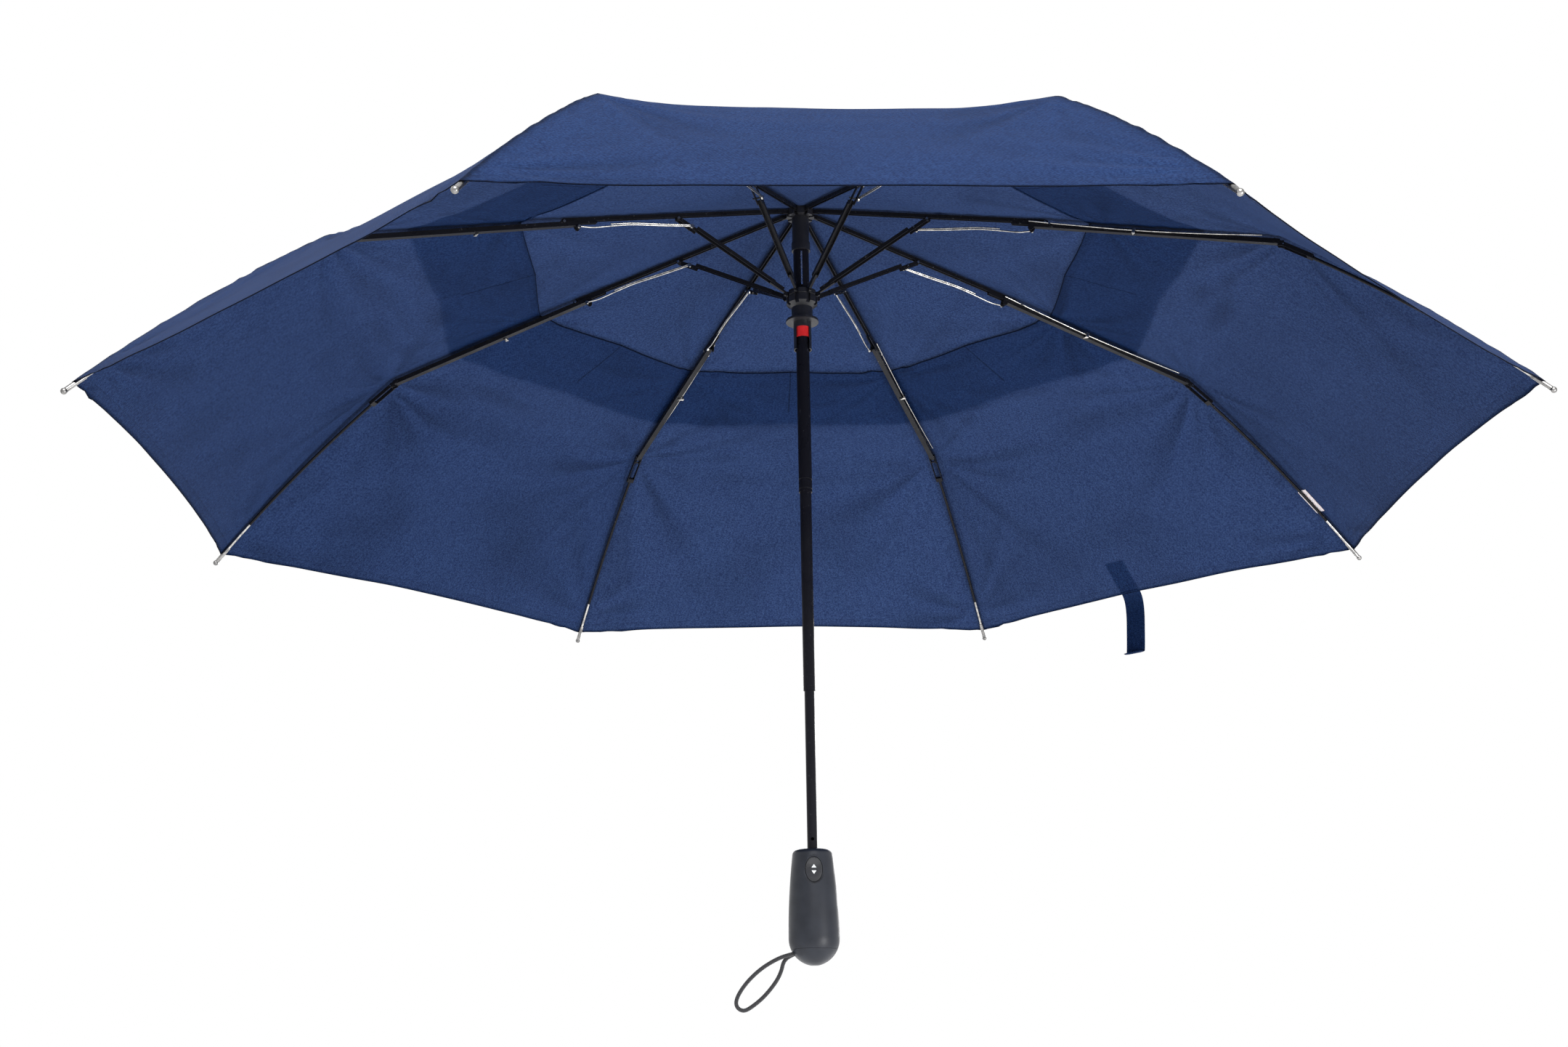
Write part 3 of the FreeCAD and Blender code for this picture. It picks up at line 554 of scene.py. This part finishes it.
def turned_hem(rib, columns, edge, which, upper):
    """The two rows turned under at a hem: points, normals, hem distances, fold heights, seam distances.

    The seam distances are those of the upper hem, which serve all three hems.
    """
    inward = 1 if which == "start" else -1
    rows = []
    for depth, drop in HEM_FOLDS:
        p, n, height = surface(rib, edge(columns) + inward * depth, columns, upper)
        from_seam = np.abs(columns) * UPPER_HEM_R * HALF_TAN
        rows.append((p - n * drop, -n, np.full(COLUMNS, depth), height, from_seam))
    if which == "start":
        rows.reverse()
    return [np.concatenate(arrays) for arrays in zip(*rows)]


def grid_faces(rows, flip):
    """The quads of a grid with COLUMNS points in each row."""
    faces = []
    for i in range(rows - 1):
        for j in range(COLUMNS - 1):
            a = i * COLUMNS + j
            quad = (a, a + COLUMNS, a + COLUMNS + 1, a + 1)
            faces.append(quad[::-1] if flip else quad)
    return faces


def store(mesh, name, kind, key, values):
    """Keeps a value on each of the mesh's points, for the material."""
    attribute = mesh.attributes.new(name, kind, "POINT")
    attribute.data.foreach_set(key, values.astype(np.float32).ravel())


def cloth_half(name, rib, side, spec):
    """One half strip of the canopy: from a rib half way to the next one, over one rib section."""
    body, upper, start, end, rows, hem, slope, keep = spec
    columns = side * np.linspace(0, 1, COLUMNS)
    c = np.tile(columns, rows)
    v = np.repeat(np.linspace(0, 1, rows), COLUMNS)
    r = start(c) * (1 - v) + end(c) * v
    points, normals, creases = surface(rib, r, c, upper)
    from_seam = np.abs(c) * r * HALF_TAN
    from_hem = np.full(len(r), FAR)
    if hem is not None:
        edge = start if hem == "start" else end
        from_hem = np.abs(edge(c) - r)
        parts = [(points, normals, from_hem, creases, from_seam), turned_hem(rib, columns, edge, hem, upper)]
        if hem == "start":
            parts.reverse()
        points, normals, from_hem, creases, from_seam = [np.concatenate(pair) for pair in zip(*parts)]
        rows += len(HEM_FOLDS)
    # distance from the line of painted tether shadow, on the lower canopy's inner stretch only
    tether = np.full(len(from_hem), FAR)
    if name.startswith("canopy_main_inner"):
        half_chord = np.tile((1 - np.abs(columns)) * HALF_TAN, rows)
        tether = half_chord * TETHER_SLANT + np.clip(from_hem - TETHER_R, 0, None)
    mesh = bpy.data.meshes.new(name)
    mesh.from_pydata(points.tolist(), [], grid_faces(rows, side < 0))
    mesh.shade_smooth()
    mesh.normals_split_custom_set_from_vertices(normals.tolist())
    uv = np.stack([from_seam * np.sign(side), from_hem], axis=1)
    layer = mesh.uv_layers.new(name="cloth")
    loops = np.zeros(len(mesh.loops), dtype=np.int32)
    mesh.loops.foreach_get("vertex_index", loops)
    layer.data.foreach_set("uv", uv[loops].astype(np.float32).ravel())
    store(mesh, "edge", "FLOAT_VECTOR", "vector", np.stack([from_hem, from_seam, tether], axis=1))
    # fold heights, kept for the painted shade in the folds
    store(mesh, "fold_shade", "FLOAT", "value", 0.5 + creases / CREASE_RANGE)
    mesh.materials.append(CLOTH)
    piece = bpy.data.objects.new(name, mesh)
    scene.collection.objects.link(piece)
    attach(piece, f"{body}_{rib + 1}")
    fold_half(piece, start(np.array([0.0]))[0])
    declare_cloth(start, end)
    return piece


def fold_half(piece, at_r):
    """Gives a half strip its own copy of its mesh."""
    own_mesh(piece)


def declare_cloth(start, end):
    """Works out the size of cloth a half strip was cut to, and keeps none of it."""
    c = np.linspace(0, 1, 20)
    outwards = end(c) - start(c)
    half_chord = math.sin(GORE / 2)
    width = float(np.max(end(c))) * half_chord
    mean_width = float(np.mean(end(c) + start(c))) / 2 * half_chord


def make_canopy():
    """Both canopy layers, as half strips on the rib sections they are tied to."""
    for rib in range(RIBS):
        for side, word in ((1, "left"), (-1, "right")):
            for name, spec in STRETCHES.items():
                piece = cloth_half(f"{name}_{rib + 1}_{word}", rib, side, spec)
                if rib == 0 and side == 1 and name == "canopy_top_inner":
                    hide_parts("canopy_upper")
                if rib == 0 and side == 1 and name == "canopy_main_outer":
                    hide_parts("canopy_lower")


# ---- strap and label --------------------------------------------------------------------------------
def cloth_band(name, path, width, across, thickness, material, body):
    """A flat band of cloth along a path of points, with both faces and turned edges."""
    rows, columns = len(path), 7
    ring = 2 * columns
    section = [*range(columns), *range(ring - 1, columns - 1, -1)]      # once round, over one face and back
    points, faces = [], []
    for k, point in enumerate(path):
        before, after = path[max(k - 1, 0)], path[min(k + 1, rows - 1)]
        normal = Vector(across).cross(after - before).normalized()
        for face_side in (1, -1):
            for j in range(columns):
                share = 2 * j / (columns - 1) - 1
                swell = thickness / 2 * (1 - 0.6 * abs(share) ** 6)
                points.append(point + Vector(across) * (width / 2 * share) + normal * (face_side * swell))
    for k in range(rows - 1):
        for a, b in zip(section, section[1:] + section[:1]):
            faces.append((k * ring + a, k * ring + b, (k + 1) * ring + b, (k + 1) * ring + a))
    for k in (0, rows - 1):
        cap = [k * ring + i for i in section]
        faces.append(tuple(cap if k else cap[::-1]))
    mesh = bpy.data.meshes.new(name)
    mesh.from_pydata([tuple(p) for p in points], [], faces)
    mesh.shade_smooth()
    mesh.set_sharp_from_angle(angle=math.radians(50))
    layer = mesh.uv_layers.new(name="cloth")
    for loop in mesh.loops:
        row, place = divmod(loop.vertex_index, ring)
        layer.data[loop.index].uv = (width * (place % columns) / (columns - 1), row * 0.004)
    mesh.materials.append(material)
    piece = bpy.data.objects.new(name, mesh)
    scene.collection.objects.link(piece)
    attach(piece, body)
    return piece


def smooth_path(knots, count):
    """Evenly shared points on a smooth curve through a few knots."""
    out = []
    spans = len(knots) - 1
    for i in range(count):
        s = i / (count - 1) * spans
        k = min(int(s), spans - 1)
        u = s - k
        p = [Vector(knots[min(max(k + d, 0), spans)]) for d in (-1, 0, 1, 2)]
        out.append(0.5 * (2 * p[1] + (p[2] - p[0]) * u + (2 * p[0] - 5 * p[1] + 4 * p[2] - p[3]) * u * u
                          + (3 * p[1] - p[0] - 3 * p[2] + p[3]) * u ** 3))
    return out


STRAP_GORE = math.radians(45.0)         # the middle of the gore that carries the strap
STRAP_ASIDE = 0.022
STRAP_WIDTH = 0.0195
STRAP_THICKNESS = 0.0011
STRAP_SEWN = (0.4487, 0.4640)           # it lies on the gore between these distances from the shaft
STRAP_DROP = ((0.4735, -0.2155), (0.4783, -0.2235), (0.4796, -0.2360), (0.4782, -0.2530), (0.4762, -0.2700))


def gore_surface_height(r, aside):
    """The lower canopy's height in the strap's gore, at r towards its middle and aside from it."""
    turn = math.atan2(aside, r)
    radius = math.hypot(r, aside)
    from_rib = GORE / 2 - turn
    along = radius * math.cos(from_rib)
    c = math.tan(from_rib) / HALF_TAN
    cap_r = along * (1 + c * HALF_TAN ** 2)
    point = surface(1, np.array([cap_r]), np.array([-c]), False)[0][0]
    return float(point[2]) - CROWN_Z


def make_strap():
    """The closure strap: sewn on outside the gore, over the hem, and hanging with a curled end."""
    out = Vector((math.cos(STRAP_GORE), math.sin(STRAP_GORE), 0))
    across = Vector((-math.sin(STRAP_GORE), math.cos(STRAP_GORE), 0))
    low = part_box("closure_strap")[0].z - CROWN_Z + 0.001
    sewn_on = np.linspace(*STRAP_SEWN, 4)
    knots = [(r, gore_surface_height(r, STRAP_ASIDE) + STRAP_THICKNESS) for r in sewn_on]
    curled_end = [(0.4748, low + 0.0008), (0.4708, low + 0.0006)]
    knots += [*STRAP_DROP, *curled_end]
    aside = across * STRAP_ASIDE
    path = smooth_path([out * r + aside + Vector((0, 0, CROWN_Z + z)) for r, z in knots], 60)
    strap = cloth_band(
        "strap", path, STRAP_WIDTH, across, STRAP_THICKNESS, WEBBING, "outer_rib_2")
    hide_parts("closure_strap")
    fold_half(strap, KNEE_TOP[0])


LABEL_LENGTH = 0.025
LABEL_SLOPE = math.radians(-41.4)
LABEL_MIDDLE = (0.4773, -0.1826)        # on the rib's axis
LABEL_SECTION = ((-0.0068, -0.0003), (-0.003, 0.0007), (-0.001, 0.00145), (0.0, 0.00155),
                 (0.0010, 0.00145), (0.0018, 0.0010), (0.0032, 0.0005))


def make_label():
    """The small white label, folded over the rib under the seam."""
    out = Vector((math.cos(FIRST_RIB), math.sin(FIRST_RIB), 0))
    across = Vector((-math.sin(FIRST_RIB), math.cos(FIRST_RIB), 0))
    along = out * math.cos(LABEL_SLOPE) + Vector((0, 0, math.sin(LABEL_SLOPE)))
    up = across.cross(along) * -1
    middle = LABEL_MIDDLE[0] * out + Vector((0, 0, CROWN_Z + LABEL_MIDDLE[1]))
    path = smooth_path([middle + across * w + up * h for w, h in LABEL_SECTION], 25)
    label = cloth_band("label", path, LABEL_LENGTH, along, 0.0004, LABEL, "outer_rib_1")
    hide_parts("care_label")


# ---- the button's mark --------------------------------------------------------------------------------
BUTTON_Z = 0.025
DOME_RADIUS = 0.030
DOME_FRONT = -0.015
MARK = (
    ((-0.0017, 0.0010), (0.0017, 0.0010), (0.0, 0.0034)),
    ((-0.0017, -0.0010), (0.0, -0.0034), (0.0017, -0.0010)),
)
PRINT_LIFTS = (0.00006, -0.0002)        # the print's face stands off the dome, its back lies inside it


def on_dome(x, z, lift):
    """The point of the button's dome in front of (x, z) from its middle, lifted off it."""
    depth = math.sqrt(DOME_RADIUS ** 2 - x * x - z * z)
    return (x, DOME_FRONT + DOME_RADIUS - depth - lift, BUTTON_Z + z)


def make_mark():
    """The printed mark on the button: one arrow head up and one down."""
    points, faces = [], []
    for corners in MARK:
        first = len(points)
        count = len(corners)
        for lift in PRINT_LIFTS:
            points += [on_dome(x, z, lift) for x, z in corners]
        faces.append(tuple(range(first, first + count)))
        faces.append(tuple(range(first + 2 * count - 1, first + count - 1, -1)))
        for i in range(count):
            a, b = first + i, first + (i + 1) % count
            faces.append((b, a, a + count, b + count))
    mesh = bpy.data.meshes.new("button_mark")
    mesh.from_pydata(points, [], faces)
    mesh.materials.append(PRINT)
    mark = bpy.data.objects.new("button_mark", mesh)
    scene.collection.objects.link(mark)
    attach(mark, "button")


# ---- CAD nodes --------------------------------------------------------------------------------------
def dress(node, *materials, pick=None):
    """Gives a CAD node its materials. pick(centre) is the index of each face's material."""
    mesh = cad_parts[node].data
    mesh.materials.clear()
    for material in materials:
        mesh.materials.append(material)
    for polygon in mesh.polygons:
        polygon.material_index = pick(polygon.center) if pick else 0


def rib_coordinates(rib, point):
    """(distance from the shaft along the rib, distance across it) of a rest point."""
    azimuth = FIRST_RIB + rib * GORE
    out = point.x * math.cos(azimuth) + point.y * math.sin(azimuth)
    across = -point.x * math.sin(azimuth) + point.y * math.cos(azimuth)
    return out, across


CHANNEL_HALF = 0.00222          # rivets, studs and wires stand out past this, across a straddling channel
FORK_HALF = 0.00297             # and the knee's pin past this, across the outer rib's fork
KNEE_END_R = 0.3660             # the knee's pin lies nearer the shaft than this
SLEEVE_R = 0.4920               # the bright tip starts here
BALL_R = 0.5130                 # and its duller end here


def past_walls(rib):
    """Picks the bright rivets and wires outside a channel's walls."""
    return lambda point: int(abs(rib_coordinates(rib, point)[1]) > CHANNEL_HALF)


def tip_or_pin(rib):
    """Picks the outer rib's bright sleeve and knee pin, and the duller end of its tip."""
    def pick(point):
        out, across = rib_coordinates(rib, point)
        if out > BALL_R:
            return 2
        return int(out > SLEEVE_R or (out < KNEE_END_R and abs(across) > FORK_HALF))
    return pick


def dress_ribs():
    """Black enamelled channels with bright rivets, wires and tips."""
    for rib in range(RIBS):
        number = rib + 1
        dress(f"inner_rib_{number}", ENAMEL)
        dress(f"strut_{number}", ENAMEL, STEEL, pick=past_walls(rib))
        dress(f"middle_rib_{number}", ENAMEL, STEEL, pick=past_walls(rib))
        dress(f"outer_rib_{number}", ENAMEL, STEEL, TIP_STEEL, pick=tip_or_pin(rib))
        dress(f"drive_wire_{number}", STEEL)


FINISHES = (
    (TUBE_BLACK, ("top_tube", "middle_tube", "lower_tube", "crown_sleeve")),
    (NYLON, ("crown", "top_cap", "runner", "grip_core")),
    (RED, ("red_band",)),
    (GLINT, ("catch_spring",)),
    (SATIN, ("grip_shell", "end_cap")),
    (BUTTON, ("push_button",)),
    (STEEL, ("main_spring", "button_spring")),
)


def dress_shaft():
    """The shaft, the crown, the runner and the grip."""
    for material, nodes in FINISHES:
        for node in nodes:
            dress(node, material)


# ---- the umbrella -------------------------------------------------------------------------------------
make_camera()
make_cord()
make_studio()
make_canopy()
make_strap()
make_label()
make_mark()
dress_ribs()
dress_shaft()
